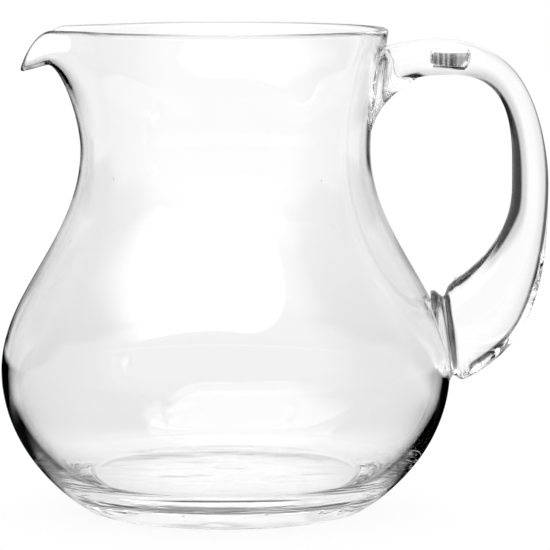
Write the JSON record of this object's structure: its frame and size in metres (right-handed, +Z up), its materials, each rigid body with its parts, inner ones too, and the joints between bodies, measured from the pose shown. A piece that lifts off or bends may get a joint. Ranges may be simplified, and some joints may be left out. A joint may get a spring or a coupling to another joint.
{
  "type": "glass pitcher",
  "caption": "Clear glass pitcher with a wide round bowl, a narrowed neck, a pulled pouring lip, a heavy flat base and a fused loop handle.",
  "frame": {"origin": "middle of the base on the table, on the axis of the body", "axes": "+Z up along the body's axis, +X towards the handle, -X towards the spout"},
  "size_m": [0.2103, 0.1728, 0.1855],
  "materials": {
    "body_glass": "clear blown glass, fire polished",
    "handle_glass": "clear solid glass, fire polished"
  },
  "bodies": {
    "root": {"blown_body": "body_glass", "handle": "handle_glass"}
  },
  "joints": []
}
